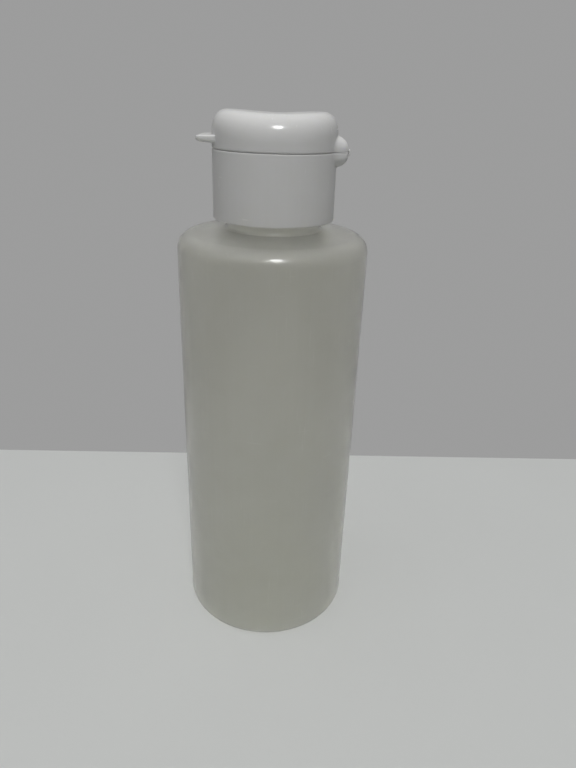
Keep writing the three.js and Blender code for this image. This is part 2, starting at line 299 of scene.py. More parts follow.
class Nodes:
    """Places and joins the nodes of one node tree."""

    def __init__(self, tree: NodeTree) -> None:
        """Works on the given node tree."""
        self.tree = tree

    def feed(self, node: Node, inputs: dict) -> None:
        """Gives a node's inputs their values and links.

        Args:
            node: The node.
            inputs: Input names or places, each with a value or an output socket to link from.
        """
        for key, value in inputs.items():
            if isinstance(value, Socket):
                self.tree.links.new(value, node.inputs[key])
            else:
                node.inputs[key].default_value = value

    def add(self, kind: str, inputs: dict | None = None, **settings: object) -> Node:
        """Adds a node.

        Args:
            kind: Node type without its "ShaderNode" prefix.
            inputs: As in feed.
            settings: Attributes of the node.

        Returns:
            The new node.
        """
        node = self.tree.nodes.new(f"ShaderNode{kind}")
        for key, value in settings.items():
            setattr(node, key, value)
        self.feed(node, inputs or {})
        return node

    def math(self, operation: str, first: object, *others: object) -> Socket:
        """Joins two or more values by one Math operation, from left to right.

        Args:
            operation: Name of the operation.
            first: First value or socket.
            others: Further values or sockets.

        Returns:
            The last output.
        """
        for other in others:
            first = self.add("Math", {0: first, 1: other}, operation=operation).outputs[0]
        return first

    def ramp(self, value: object, low: float, high: float, bottom: float = 0.0, top: float = 1.0) -> Socket:
        """Maps value from low..high to bottom..top, smoothly and within those limits."""
        inputs = {"Value": value, "From Min": low, "From Max": high, "To Min": bottom, "To Max": top}
        return self.add("MapRange", inputs, interpolation_type="SMOOTHSTEP").outputs["Result"]

    def noise(self, vector: object, scale: float, detail: float) -> Socket:
        """Adds a noise texture and returns its value."""
        return self.add("TexNoise", {"Vector": vector, "Scale": scale, "Detail": detail}).outputs["Fac"]

    def stretched(self, vector: object, factors: Triple, turn: Triple = (0.0, 0.0, 0.0)) -> Socket:
        """Turns and scales a vector, so that a texture on it is drawn out along an axis."""
        return self.add("Mapping", {"Vector": vector, "Rotation": turn, "Scale": factors}).outputs["Vector"]

    def blend(self, factor: object, first: object, second: object) -> Socket:
        """Mixes two colours, which a Mix node takes at places 6 and 7, and returns its third output."""
        return self.add("Mix", {0: factor, 6: first, 7: second}, data_type="RGBA").outputs[2]

    def choose(self, factor: object, first: object, second: object) -> Socket:
        """Goes from one number to another, which a Mix node takes at places 2 and 3."""
        return self.add("Mix", {0: factor, 2: first, 3: second}).outputs[0]


class GroupNodes(Nodes):
    """Places the nodes of a new node group with named inputs and outputs."""

    def __init__(self, name: str, **inputs: str) -> None:
        """Starts the group.

        Args:
            name: Name of the group.
            inputs: Socket type of each named input.
        """
        super().__init__(bpy.data.node_groups.new(name, "ShaderNodeTree"))
        for label, kind in inputs.items():
            self.tree.interface.new_socket(name=label, in_out="INPUT", socket_type=kind)
        self.given = self.tree.nodes.new("NodeGroupInput").outputs

    def finished(self, **outputs: Socket) -> NodeTree:
        """Gives the group its number outputs.

        Args:
            outputs: Socket that feeds each named output.

        Returns:
            The group's tree.
        """
        for label in outputs:
            self.tree.interface.new_socket(name=label, in_out="OUTPUT", socket_type=NUMBER)
        self.feed(self.tree.nodes.new("NodeGroupOutput"), outputs)
        return self.tree


class MaterialNodes(Nodes):
    """Places the nodes of a new material."""

    def __init__(self, name: str) -> None:
        """Starts the material, whose shader and surface output are there from the outset.

        Args:
            name: Name of the material.
        """
        self.material = bpy.data.materials.new(name)
        self.material.use_nodes = True
        super().__init__(self.material.node_tree)
        self.shader = self.tree.nodes["Principled BSDF"]


@cache
def moulded_grain() -> NodeTree:
    """Skin of a moulded plastic: fine grain, slow waves of the wall, drawn-out flow streaks and mottling.

    Returns:
        The new group.
    """
    nodes = GroupNodes("moulded_grain", Vector=VECTOR, Grain=NUMBER, Waves=NUMBER, Streaks=NUMBER)
    vector = nodes.given["Vector"]
    drawn = nodes.noise(nodes.stretched(vector, (1.0, 1.0, 0.03)), scale=900.0, detail=2.0)
    cloud = nodes.noise(vector, scale=190.0, detail=4.0)
    parts = {
        "Grain": nodes.noise(vector, scale=5200.0, detail=3.0),
        "Waves": nodes.noise(vector, scale=75.0, detail=1.0),
        "Streaks": drawn,
    }
    height = [nodes.math("MULTIPLY", part, nodes.given[name]) for name, part in parts.items()]
    cloud_share = 0.65
    mottle = [nodes.math("MULTIPLY", cloud, cloud_share), nodes.math("MULTIPLY", drawn, 1 - cloud_share)]
    mottle = nodes.ramp(nodes.math("ADD", *mottle), low=0.32, high=0.68)
    return nodes.finished(Height=nodes.math("ADD", *height), Mottle=mottle)


@cache
def handling_wear() -> NodeTree:
    """Faint rubs from handling: thin scratches in two directions, gathered in patches.

    Returns:
        The new group.
    """
    nodes = GroupNodes("handling_wear", Vector=VECTOR, Amount=NUMBER)
    vector = nodes.given["Vector"]
    along = nodes.stretched(vector, (1.0, 1.0, 0.05), turn=(0.25, 0.12, 0.0))
    across = nodes.stretched(vector, (0.06, 0.06, 1.0), turn=(0.1, -0.3, 0.4))
    along = nodes.ramp(nodes.noise(along, scale=2600.0, detail=1.0), low=0.66, high=0.74)
    across = nodes.ramp(nodes.noise(across, scale=2300.0, detail=1.0), low=0.68, high=0.76)
    patches = nodes.ramp(nodes.noise(vector, scale=110.0, detail=3.0), low=0.46, high=0.62)
    lines = nodes.math("MAXIMUM", along, across)
    return nodes.finished(Scuff=nodes.math("MULTIPLY", lines, patches, nodes.given["Amount"]))


@cache
def settled_dust() -> NodeTree:
    """Thin dust on what faces up on the closed bottle, broken up by noise.

    Returns:
        The new group.
    """
    nodes = GroupNodes("settled_dust", Vector=VECTOR, Facing=VECTOR, Amount=NUMBER)
    upward = nodes.add("SeparateXYZ", {0: nodes.given["Facing"]}).outputs["Z"]
    flat = nodes.ramp(upward, low=0.55, high=1.0)
    noise = nodes.noise(nodes.given["Vector"], scale=2400.0, detail=4.0)
    specks = nodes.ramp(noise, low=0.5, high=0.72, bottom=0.15)
    return nodes.finished(Dust=nodes.math("MULTIPLY", flat, specks, nodes.given["Amount"]))


@dataclass(frozen=True)
class MouldedPlastic:
    """A moulded plastic, from its colour and gloss to how much light passes its wall.

    Thin shadow is the share of a lamp's light that goes on behind the wall; at 0 the shadow is a full one.
    """

    name: str
    colour: Colour
    mottled: Colour
    rubbed: Colour
    roughness: float
    subsurface: float
    scatter: Triple
    grain: float
    waves: float
    bump: float
    roughness_spread: float = 0.06
    rub_roughness: float = 0.25
    dust_roughness: float = 0.3
    transmission: float = 0.0
    refraction: float = 1.5
    thin_shadow: float = 0.0
    coat: float = 0.0
    coat_roughness: float = 0.03
    streaks: float = 0.0
    wear: float = 0.0
    dust: float = 0.0

    def material(self) -> Material:
        """Builds the node material round the shared groups.

        Returns:
            The new material.
        """
        nodes = MaterialNodes(self.name)
        place = nodes.add("TexCoord").outputs
        vector = place["Object"]
        moulded = {"Vector": vector, "Grain": self.grain, "Waves": self.waves, "Streaks": self.streaks}
        settled = {"Vector": vector, "Facing": place["Normal"], "Amount": self.dust}
        grain = nodes.add("Group", moulded, node_tree=moulded_grain()).outputs
        wear = nodes.add("Group", {"Vector": vector, "Amount": self.wear}, node_tree=handling_wear())
        scuff = wear.outputs["Scuff"]
        dust = nodes.add("Group", settled, node_tree=settled_dust()).outputs["Dust"]
        colour = nodes.blend(grain["Mottle"], self.colour, self.mottled)
        colour = nodes.blend(dust, nodes.blend(scuff, colour, self.rubbed), self.rubbed)
        duller = self.roughness + self.roughness_spread
        rough = nodes.ramp(grain["Mottle"], 0.0, 1.0, self.roughness, duller)
        for mark, added in ((scuff, self.rub_roughness), (dust, self.dust_roughness)):
            rough = nodes.math("ADD", rough, nodes.math("MULTIPLY", mark, added))
        bump = nodes.add("Bump", {"Height": grain["Height"], "Strength": 1.0, "Distance": self.bump * MM})
        nodes.feed(nodes.shader, {
            "Base Color": colour,
            "Roughness": rough,
            "Normal": bump.outputs["Normal"],
            "IOR": self.refraction,
            "Transmission Weight": self.transmission,
            "Subsurface Weight": self.subsurface,
            "Subsurface Radius": self.scatter,
            "Subsurface Scale": MM,
            "Coat Weight": self.coat,
            "Coat Roughness": self.coat_roughness,
        })
        if self.thin_shadow:
            lamp_ray = nodes.add("LightPath").outputs["Is Shadow Ray"]
            passed = nodes.add("BsdfTransparent", {"Color": grey(self.thin_shadow)}).outputs[0]
            surface = nodes.add("MixShader", {0: lamp_ray, 1: nodes.shader.outputs[0], 2: passed}).outputs[0]
            nodes.feed(nodes.tree.nodes["Material Output"], {"Surface": surface})
        return nodes.material


def grey(level: float) -> Colour:
    """An opaque neutral colour."""
    return (level, level, level, 1.0)


NATURAL_POLYETHYLENE = MouldedPlastic(
    name="natural_polyethylene",
    colour=(0.73, 0.73, 0.69, 1.0),
    mottled=(0.71, 0.71, 0.665, 1.0),
    rubbed=(0.97, 0.97, 0.95, 1.0),
    roughness=0.6,
    subsurface=1.0,
    scatter=(4.0, 4.0, 3.6),
    grain=0.12,
    waves=1.0,
    bump=0.03,
    transmission=0.93,
    refraction=1.25,
    thin_shadow=0.6,
    coat=0.8,
    coat_roughness=0.18,
    streaks=0.3,
    wear=0.25,
    dust=0.15,
)

WHITE_POLYPROPYLENE = MouldedPlastic(
    name="white_polypropylene",
    colour=(0.78, 0.78, 0.775, 1.0),
    mottled=(0.765, 0.765, 0.755, 1.0),
    rubbed=(0.84, 0.84, 0.83, 1.0),
    roughness=0.16,
    subsurface=0.5,
    scatter=(1.0, 1.0, 0.9),
    grain=0.06,
    waves=0.8,
    bump=0.02,
    thin_shadow=0.9,
    streaks=0.05,
    wear=0.4,
    dust=0.2,
)

LID_POLYPROPYLENE = replace(WHITE_POLYPROPYLENE, name="white_lid_polypropylene", thin_shadow=0.45)

SEAL_FOAM = MouldedPlastic(
    name="seal_foam",
    colour=(0.86, 0.86, 0.84, 1.0),
    mottled=(0.78, 0.78, 0.76, 1.0),
    rubbed=(0.9, 0.9, 0.9, 1.0),
    roughness=0.75,
    subsurface=0.3,
    scatter=(0.6, 0.6, 0.6),
    grain=1.0,
    waves=0.2,
    bump=0.06,
    roughness_spread=0.15,
)


# Sub-assemblies


@dataclass(frozen=True)
class Label:
    """A piece's name, its material slot in the record, its CAD body and the CAD node that it replaces."""

    name: str
    slot: str
    body: str
    node: str


class SubAssembly:
    """A piece of the bottle that knows its label and dresses itself."""

    label: Label

    def ride(self, piece: Piece) -> None:
        """Lets the piece move with its body."""
        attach(piece, self.label.body)

    def dress(self, piece: Piece, material: Material) -> None:
        """Gives a piece its material and its body, and hides the CAD node it stands for.

        Args:
            piece: The new piece.
            material: Its material.
        """
        piece.data.materials.append(material)
        self.ride(piece)
        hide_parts(self.label.node)


class TurnedPiece(SubAssembly):
    """A piece built as one closed skin round the axis, on azimuths and from parts that each kind gives."""

    ends = Ends.POLES
    parts: tuple = ()

    def build(self) -> Piece:
        """Builds the piece from the parts of its skin, in order along the outline.

        Returns:
            The new object.
        """
        skin = Skin(self.azimuths())
        for part in self.parts:
            part(self, skin)
        return skin.piece(self.label.name, self.ends)


@dataclass(frozen=True)
class ScrewThread:
    """A right-handed ridge, the same on the neck and inside the cap."""

    pitch: float = 3.0
    turns: float = 1.25
    height: float = 1.15
    root_width: float = 1.8
    crest_width: float = 0.7
    setback: float = 1.3
    clearance: float = 0.35
    run_out: float = 0.1
    start: float = math.radians(200)

    def rise(self, azimuths: Array, heights: Array, low_end: float) -> Array:
        """Share of the full ridge height at each place.

        The ridge's middle is at low_end + pitch * turn, where turn counts from the start; the share falls
        from 1 on the crest to 0 at the root width and fades in and out over the run-out.

        Args:
            azimuths: Azimuths in radians.
            heights: Heights in millimetres.
            low_end: Height of the ridge's middle at its lower end.

        Returns:
            Array of shares from 0 to 1.
        """
        share = np.zeros(np.broadcast(azimuths, heights).shape)
        for lap in range(math.ceil(self.turns)):
            turn = ((azimuths - self.start) % (2 * math.pi)) / (2 * math.pi) + lap
            away = np.abs(heights - low_end - self.pitch * turn)
            flank = (self.root_width / 2 - away) / ((self.root_width - self.crest_width) / 2)
            fade = np.minimum(turn, self.turns - turn) / self.run_out
            share = np.maximum(share, smooth_step(flank) * smooth_step(fade))
        return share


@dataclass(frozen=True)
class Bottle(TurnedPiece):
    """The blow-moulded bottle: pushed-up base, straight wall, rounded shoulder and threaded neck."""

    label = Label("bottle_shell", "natural_polyethylene", "bottle", "bottle")

    thread: ScrewThread
    radius: float = 20.0
    straight_top: float = 90.6
    wall: float = 1.0
    base_round: float = 1.7
    ring_width: float = 1.9
    push_up: float = 1.6
    floor_wall: float = 1.4
    floor_round: float = 1.2
    shoulder_round: float = 3.5
    slope: float = math.radians(8)
    neck_radius: float = 9.65
    neck_bore: float = 7.9
    neck_length: float = 12.8
    foot_round: float = 0.8
    lip_round: float = 0.3
    seam_height: float = 0.05
    seam_width: float = 0.35
    pinch_height: float = 0.4
    pinch_width: float = 0.5
    pinch_length: float = 22.0
    wave_depth: float = 0.03
    waves: tuple[Triple, Triple] = ((3, 9.0, 0.0), (2, -14.0, 1.0))
    columns: int = 232

    @property
    def inner_stand(self) -> float:
        """Inner radius of the standing ring."""
        return self.radius - self.base_round - self.ring_width

    @property
    def neck_foot(self) -> float:
        """Radius where the slope meets the neck's foot."""
        return self.neck_radius + self.foot_round

    @property
    def neck_top(self) -> float:
        """Height of the neck's lip."""
        return self.slope_height(self.shoulder_round, self.neck_foot) + self.neck_length

    def shoulder(self, rounding: float, count: int) -> Array:
        """Outline of the shoulder's rounding, from the straight wall to the slope, its tangent."""
        centre = (self.radius - self.shoulder_round, self.straight_top)
        return arc(centre, rounding, 0, 90 - math.degrees(self.slope), count)

    def slope_height(self, rounding: float, radius: float) -> float:
        """Height of the shoulder's slope, which climbs inwards from the rounding's end by tan slope.

        Args:
            rounding: Radius of the rounding, larger on the outer skin than on the inner one.
            radius: Distance from the axis.

        Returns:
            Height in millimetres.
        """
        start_radius = self.radius - self.shoulder_round + rounding * math.sin(self.slope)
        start_height = self.straight_top + rounding * math.cos(self.slope)
        return start_height + (start_radius - radius) * math.tan(self.slope)

    def seam(self, azimuths: Array) -> Array:
        """Share of the mould seam's height: a bell on the hinge's side and on the tab's."""
        away = np.abs(wrapped(azimuths))
        return bell(np.minimum(away, math.pi - away) * self.radius / (self.seam_width / 2))

    def base(self, skin: Skin) -> None:
        """Adds the push-up and the standing ring.

        The push-up drops by the pinch-off bar, a bell that joins the two seams across it.

        Args:
            skin: The skin that gets the rows.
        """
        outline = dome(self.inner_stand, self.push_up, 0, 40)
        radius, height = outline[:, :1], outline[:, 1:]
        along, across = radius * np.cos(skin.azimuths), radius * np.sin(skin.azimuths)
        past_end = (np.abs(along) - self.pinch_length / 2) / self.pinch_width
        bar = bell(across / (self.pinch_width / 2)) * (1 - smooth_step(past_end))
        skin.band(radius, height - self.pinch_height * bar)
        skin.turned(line((self.inner_stand, 0), (self.radius - self.base_round, 0), 4))

    def outside(self, skin: Skin) -> None:
        """Adds the outer surface, from the base's rounding up to the lip.

        The wall's radius is the outline's less the seam height, plus the seam's bell and two slow waves,
        sin(lobes * azimuth + height / length + shift).

        Args:
            skin: The skin that gets the rows.
        """
        azimuths = skin.azimuths
        foot, fillet = self.neck_foot, self.foot_round
        foot_height = self.slope_height(self.shoulder_round, foot)
        shoulder = self.shoulder(self.shoulder_round, 24)
        outline = np.concatenate([
            arc((self.radius - self.base_round, self.base_round), self.base_round, -90, 0, 14),
            line((self.radius, self.base_round), (self.radius, self.straight_top), 56),
            shoulder,
            line(tuple(shoulder[-1]), (foot, foot_height), 12),
        ])
        radius, height = outline[:, :1], outline[:, 1:]
        raised = smooth_step((height - self.base_round) / self.base_round)
        raised = raised * smooth_step((radius - foot) / self.shoulder_round)
        waves = sum(np.sin(lobes * azimuths + height / length + shift) for lobes, length, shift in self.waves)
        seam = self.seam_height * (self.seam(azimuths) - 1)
        skin.band(radius + raised * (seam - self.wave_depth * (2 + waves) / 4), height)
        skin.turned(arc((foot, foot_height + fillet), fillet, 270, 180, 10))
        heights = rows(foot_height + fillet, self.neck_top - self.lip_round, 92)
        low_end = self.neck_top - self.thread.setback - self.thread.turns * self.thread.pitch
        ridge = self.thread.height * self.thread.rise(azimuths, heights, low_end)
        skin.band(self.neck_radius + ridge, heights)

    def inside(self, skin: Skin) -> None:
        """Adds the lip, the bore and the inner surface, down to the middle of the floor.

        The outline is made of straight lines, quarter circles and the floor's dome.

        Args:
            skin: The skin that gets the rows.
        """
        lip, fillet = self.lip_round, self.foot_round
        inner = self.radius - self.wall
        inner_round = self.shoulder_round - self.wall
        foot = self.neck_bore + fillet
        foot_height = self.slope_height(inner_round, foot)
        floor_top = self.floor_wall + self.floor_round
        skin.turned(
            arc((self.neck_radius - lip, self.neck_top - lip), lip, 0, 90, 7),
            arc((self.neck_bore + lip, self.neck_top - lip), lip, 90, 180, 7),
            arc((foot, foot_height + fillet), fillet, 180, 270, 9),
            self.shoulder(inner_round, 18)[::-1],
            line((inner, self.straight_top), (inner, floor_top), 24),
            arc((inner - self.floor_round, floor_top), self.floor_round, 0, -90, 9),
            dome(self.inner_stand, self.push_up, self.floor_wall, 20)[::-1],
        )

    def azimuths(self) -> Array:
        """The azimuths, crowded at the two seams."""
        seams = [0, math.pi]
        return crowded(-math.pi / 2, 3 * math.pi / 2, self.columns + 1, seams, width=0.03, pull=14)[:-1]

    parts = (base, outside, inside)


@dataclass(frozen=True)
class SealingRing(TurnedPiece):
    """The flat ring between the neck's lip and the cap's deck."""

    label = Label("sealing_ring_fine", "seal_foam", "seal", "sealing_ring")
    ends = Ends.LOOP

    bottom: float
    outer: float
    thickness: float = 0.9
    width: float = 2.5
    edge: float = 0.12
    columns: int = 128

    def azimuths(self) -> Array:
        """The azimuths, evenly spaced."""
        return np.linspace(0, 2 * math.pi, self.columns, endpoint=False)

    def section(self, skin: Skin) -> None:
        """Adds the ring's section, a rounded rectangle."""
        low, high = (self.outer - self.width, self.bottom), (self.outer, self.bottom + self.thickness)
        skin.turned(rounded_rectangle(low, high, self.edge, 5))

    parts = (section,)


@dataclass(frozen=True)
class HingeSizes:
    """Paired lobes on cap and lid that meet at two thin films with a window between them."""

    line: float
    drop: float = 2.8
    rise: float = 2.9
    tip: float = 0.5
    span: float = 9.6
    tip_span: float = 7.8
    crown_span: float = 3.2
    root_depth: float = 1.0
    side_crowd: float = 0.3
    window: float = 2.8
    window_fade: float = 0.3
    nearest_cosine: float = 0.5
    film: float = 0.35
    film_inset: float = 0.2
    fold_share: float = 0.6
    blend: float = 0.8

    def lobe(self, azimuths: Array, away: Array, cap_radius: float, reach: float) -> Array:
        """Radius of a lobe's outer surface at each azimuth and distance from the parting.

        The lobe's size falls from 1 at its straight tip to 0 at its crown as a quarter of an ellipse, where
        the lobe lies so far inside the wall that it no longer blends with it. A ray from the axis leaves
        the lobe at its face, x / cos azimuth, or at its tapered side, where y = half - taper * x, whichever
        is nearer; in the window the lobe falls back inside the wall.

        Args:
            azimuths: Azimuths in radians, 0 towards the hinge.
            away: Distance from the lobe's flat face at the parting.
            cap_radius: Radius of the wall that carries the lobe.
            reach: Distance over which the lobe runs out into the wall.

        Returns:
            Array of radii.
        """
        share = np.clip((away - self.tip) / (reach - self.tip), 0, 1)
        size = np.sqrt(1 - share**2)
        sunk = cap_radius - self.blend
        face = sunk + (self.line - self.film - sunk) * size
        spans = (self.span, self.tip_span)
        root_half, tip_half = ((self.crown_span + (span - self.crown_span) * size) / 2 for span in spans)
        root = cap_radius - self.root_depth
        taper = (root_half - tip_half) / (face - root)
        turn = wrapped(azimuths)
        ahead = np.maximum(np.cos(turn), TINY)
        side = (root_half + taper * root) / (np.abs(np.sin(turn)) + taper * ahead + TINY)
        radius = smooth_min(face / ahead, side, self.blend)
        outward = (face * np.abs(np.tan(turn)) - self.window / 2) / self.window_fade
        present = smooth_step(outward) * (np.cos(turn) > self.nearest_cosine)
        return present * radius + (1 - present) * root

    def edges(self, cap_radius: float) -> list[float]:
        """Azimuths of the lobes' sides and of the window's sides, where the columns crowd.

        Args:
            cap_radius: Radius of the wall that carries the lobes.

        Returns:
            Azimuths in radians.
        """
        faces = (cap_radius + self.side_crowd, self.line - self.film)
        outer = [math.asin(self.span / 2 / radius) for radius in faces]
        half_window = (self.window + self.window_fade) / 2
        inner = [math.atan(half_window / radius) for radius in (cap_radius, self.line)]
        return [sign * angle for sign in (-1, 1) for angle in outer + inner]


@dataclass(frozen=True)
class CapBase(TurnedPiece):
    """The screw cap: threaded skirt, deck, lid collar, pouring nozzle and hinge lobes."""

    label = Label("screw_cap", "white_polypropylene", "cap", "cap_base")
    ends = Ends.LOOP

    bottle: Bottle
    thread: ScrewThread
    hinge: HingeSizes
    skirt_bottom: float
    parting: float
    deck_bottom: float
    radius: float
    skirt_inner: float
    lid_wall: float = 1.1
    edge: float = 0.14
    top_edge: float = 0.1
    ledge_inset: float = 0.5
    deck_corner: float = 0.35
    collar_height: float = 1.0
    collar_wall: float = 1.0
    collar_clearance: float = 0.4
    collar_edge: float = 0.25
    nozzle_height: float = 2.4
    nozzle_foot: float = 3.6
    nozzle_tip: float = 2.4
    nozzle_fillet: float = 0.6
    nozzle_rim: float = 0.2
    rim_flare: float = 0.05
    orifice: float = 1.25
    orifice_length: float = 1.3
    thread_lead: float = 0.5
    columns: int = 300

    def skirt(self, skin: Skin) -> None:
        """Adds the skirt's outside with the hinge lobes, and its rounded top edge.

        The radius is the larger of the wall's and the lobe's, rounded where they meet.

        Args:
            skin: The skin that gets the rows.
        """
        low, high = self.skirt_bottom + self.edge, self.parting - self.top_edge
        lobe_ends = [self.parting - self.hinge.tip, self.parting - self.hinge.drop]
        heights = crowded(low, high, 54, lobe_ends, width=0.6, pull=6)[:, None]
        lobes = self.hinge.lobe(skin.azimuths, self.parting - heights, self.radius, self.hinge.drop)
        outer = smooth_max(self.radius + 0 * heights, lobes, self.hinge.blend)
        skin.turned(arc((self.radius - self.edge, low), self.edge, -90, 0, 7))
        skin.band(outer, heights)
        skin.edge(outer[-1:], high, self.top_edge, 6)

    def deck(self, skin: Skin) -> None:
        """Adds the ledge, the collar that centres the lid, the deck and the nozzle down to its orifice.

        The outline is made of straight lines and of circle arcs that round its corners.

        Args:
            skin: The skin that gets the rows.
        """
        level, edge, fillet, rim = self.parting, self.collar_edge, self.nozzle_fillet, self.nozzle_rim
        outer = self.radius - self.lid_wall - self.collar_clearance
        inner = outer - self.collar_wall
        collar_top = level + self.collar_height - edge
        foot, tip, tip_top = self.nozzle_foot, self.nozzle_tip, level + self.nozzle_height
        narrowing = (foot - tip) / self.nozzle_height
        flank_foot = (foot - narrowing * fillet, level + fillet)
        lean = math.degrees(math.atan2(self.nozzle_height, foot - tip))
        skin.turned(
            line((self.radius - self.ledge_inset, level), (outer + edge, level), 4),
            arc((outer + edge, level + edge), edge, 270, 180, 5),
            arc((outer - edge, collar_top), edge, 0, 90, 6),
            arc((inner + edge, collar_top), edge, 90, 180, 6),
            arc((inner - edge, level + edge), edge, 0, -90, 5),
            line((inner - edge, level), (foot + fillet, level), 10),
            arc((foot + fillet, level + fillet), fillet, 270, 270 - lean, 7),
            line(flank_foot, (tip + self.rim_flare, tip_top - rim), 8),
            arc((tip - rim, tip_top - rim), rim, 10, 90, 6),
            arc((self.orifice + rim, tip_top - rim), rim, 90, 180, 6),
            line((self.orifice, tip_top - rim), (self.orifice, tip_top - self.orifice_length), 8),
        )

    def underside(self, skin: Skin) -> None:
        """Adds the underside of nozzle and deck, and the skirt's threaded inside back to its outside.

        Inside, the radius is the bore's less the ridge's share of its height.

        Args:
            skin: The skin that gets the rows.
        """
        inner, bottom, corner = self.skirt_inner, self.deck_bottom, self.deck_corner
        orifice_end = self.parting + self.nozzle_height - self.orifice_length
        cone_foot = self.nozzle_foot - (self.parting - bottom)
        skin.turned(
            line((self.orifice, orifice_end), (cone_foot, bottom), 8),
            line((cone_foot, bottom), (inner - corner, bottom), 10),
            arc((inner - corner, bottom - corner), corner, 90, 0, 6),
        )
        skirt_low = self.skirt_bottom + self.edge
        heights = rows(bottom - corner, skirt_low, 96)
        pitches = self.thread.turns + self.thread_lead
        low_end = self.bottle.neck_top - self.thread.setback - pitches * self.thread.pitch
        crest = self.bottle.neck_radius + self.thread.clearance
        ridge = self.thread.rise(skin.azimuths, heights, low_end) * (inner - crest)
        skin.band(inner - ridge, heights)
        skin.turned(arc((inner + self.edge, skirt_low), self.edge, 180, 270, 6))

    def azimuths(self) -> Array:
        """The azimuths, crowded at the hinge lobes."""
        crowd = self.hinge.edges(self.radius)
        return crowded(-math.pi, math.pi, self.columns + 1, crowd, width=0.035, pull=9)[:-1]

    parts = (skirt, deck, underside)


@dataclass(frozen=True)
class FlipLid(TurnedPiece):
    """The saddle-topped lid with its thumb tab, sealing pin and hinge lobes."""

    label = Label("saddle_lid", "white_polypropylene", "lid", "flip_lid")

    hinge: HingeSizes
    bottom: float
    radius: float
    nozzle_top: float
    pin_radius: float
    pin_depth: float = 1.0
    pin_fillet: float = 0.5
    pin_start: float = 0.6
    tip_share: float = 0.55
    height: float = 6.6
    end_rise: float = 0.36
    flank_drop: float = 0.1
    end_round: float = 3.4
    end_side: float = 2.9
    flank_round: float = 4.6
    flank_side: float = 1.3
    bend_power: float = 2.3
    wall: float = 1.1
    top_wall: float = 1.2
    rim: float = 0.2
    tab_reach: float = 2.7
    tab_width: float = 10.5
    tab_low: float = 0.9
    tab_thickness: float = 1.5
    tab_under_share: float = 0.62
    tab_top_power: float = 4.5
    tab_under_power: float = 3.0
    tab_corner: float = 3.6
    tab_root: float = 1.6
    tab_fillet: float = 0.45
    tab_crowd: Point = (0.5, 2.5)
    least_ahead: float = 0.2
    nearest_cosine: float = 0.3
    columns: int = 340

    def corner(self, azimuths: Array, wall: float, top_wall: float) -> tuple[Array, Array, Array]:
        """How far the top's rounding reaches in, and where it starts and ends, at each azimuth.

        Each size goes from its value at the flanks to that at the ends with the cosine squared.

        Args:
            azimuths: Azimuths in radians.
            wall: How far the skin is drawn in from the outside.
            top_wall: How far the skin is drawn down from the top.

        Returns:
            Inset, height of the side and height of the top.
        """
        end = np.cos(azimuths) ** 2
        flank = 1 - end
        inset = end * (self.end_round - wall) + flank * (self.flank_round - wall)
        side = self.bottom + end * self.end_side + flank * self.flank_side - top_wall
        top = self.bottom + self.height + end * self.end_rise - flank * self.flank_drop - top_wall
        return inset, side, top

    def tab(self, azimuths: Array, heights: Array) -> Array:
        """Radius of the thumb tab's surface at each azimuth and height.

        In plan a ray leaves the tongue at its tip, reach / cos azimuth, or at its side, half width / sin
        azimuth. Through its thickness the reach follows a superellipse, flat on top and sloped below.

        Args:
            azimuths: Azimuths in radians.
            heights: Heights in millimetres.

        Returns:
            Array of radii, which lie inside the wall away from the tab.
        """
        turn = wrapped(azimuths - math.pi)
        tip = (self.radius + self.tab_reach) / np.maximum(np.cos(turn), self.least_ahead)
        side = self.tab_width / 2 / np.maximum(np.abs(np.sin(turn)), TINY)
        plan = smooth_min(tip, side, self.tab_corner)
        under = self.tab_thickness * self.tab_under_share
        middle = self.bottom + self.tab_low + under
        above = np.clip((heights - middle) / (self.tab_thickness - under), 0, 1)
        below = np.clip((middle - heights) / under, 0, 1)
        section = (1 - above**self.tab_top_power) ** (1 / self.tab_top_power)
        section = section * (1 - below**self.tab_under_power) ** (1 / self.tab_under_power)
        root = self.radius - self.tab_root
        return np.where(np.cos(turn) > self.nearest_cosine, root + (plan - root) * section, root)

    def top(self, skin: Skin) -> None:
        """Adds the saddle from its middle outwards, and the upper part of its superelliptic rounding.

        The saddle runs with level ends from the middle's height to the edge's. The rounding goes in by
        inset * (1 - cos angle ** (2 / power)) and up by sin angle ** (2 / power) of its height.

        Args:
            skin: The skin that gets the rows.
        """
        inset, side, top = self.corner(skin.azimuths, 0, 0)
        share = rows(0, 1, 22)[:-1]
        middle = self.bottom + self.height
        skin.band((self.radius - inset) * share, middle + (top - middle) * eased(share))
        power = self.bend_power
        level = np.clip((self.bottom + self.end_side - side) / (top - side), 0, 1)
        quarter = math.pi / 2
        angle = quarter + rows(0, 1, 40) * (np.arcsin(level ** (power / 2)) - quarter)
        inward = inset * (1 - np.maximum(np.cos(angle), 0) ** (2 / power))
        skin.band(self.radius - inward, side + (top - side) * np.sin(angle) ** (2 / power))

    def side(self, skin: Skin) -> None:
        """Adds the side down to the rim, with tab and hinge lobes drawn out of it.

        The plain side is the wall's radius, and above the flanks it goes on in along the rounding, a
        quarter of a superellipse.

        Args:
            skin: The skin that gets the rows.
        """
        azimuths = skin.azimuths
        inset, side, top = self.corner(azimuths, 0, 0)
        low = self.bottom + self.rim
        tab_low = self.bottom + self.tab_low
        crowd = [tab_low + self.tab_thickness, tab_low, self.bottom + self.hinge.tip]
        heights = crowded(low, self.bottom + self.end_side, 84, crowd, width=0.12, pull=12)[::-1, None]
        share = np.clip((heights - side) / (top - side), 0, 1)
        plain = self.radius - inset * (1 - (1 - share**self.bend_power) ** (1 / self.bend_power))
        lobes = self.hinge.lobe(azimuths, heights - self.bottom, self.radius, self.hinge.rise)
        outer = smooth_max(plain, lobes, self.hinge.blend)
        outer = smooth_max(outer, self.tab(azimuths, heights), self.tab_fillet)
        skin.band(outer, heights)
        skin.edge(outer[-1:], low, -self.rim, 7)

